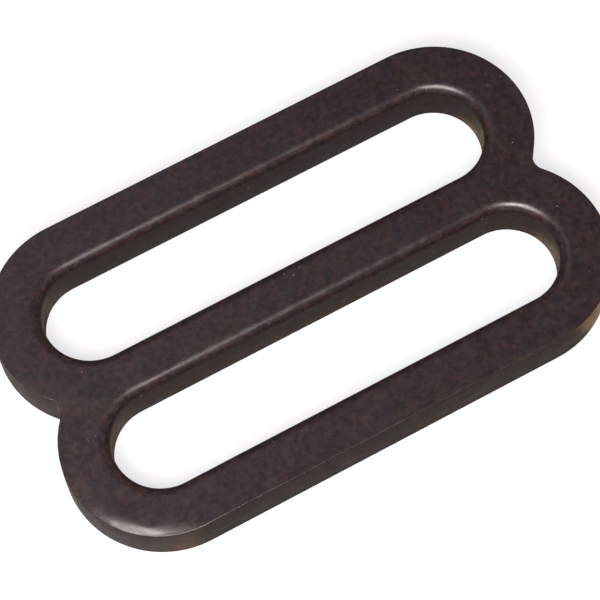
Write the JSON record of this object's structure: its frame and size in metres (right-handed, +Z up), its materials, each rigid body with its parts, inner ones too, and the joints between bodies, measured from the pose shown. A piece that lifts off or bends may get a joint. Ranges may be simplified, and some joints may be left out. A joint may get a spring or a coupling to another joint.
{
  "type": "strap slider",
  "caption": "Flat figure-of-eight strap slider: long slots side by side with a shared centre bar, half-round ends and rounded edges. It adjusts the length of a strap on a bag, belt or garment.",
  "frame": {"origin": "centre of the bounding box, on the face that the slider rests on", "axes": "+X along the bars and slots, +Y across the bars, +Z up through the thickness"},
  "size_m": [0.046, 0.0274, 0.0042],
  "materials": {
    "dark_brown_lacquer": "satin"
  },
  "bodies": {
    "root": {"slider_frame": "dark_brown_lacquer"}
  },
  "joints": []
}
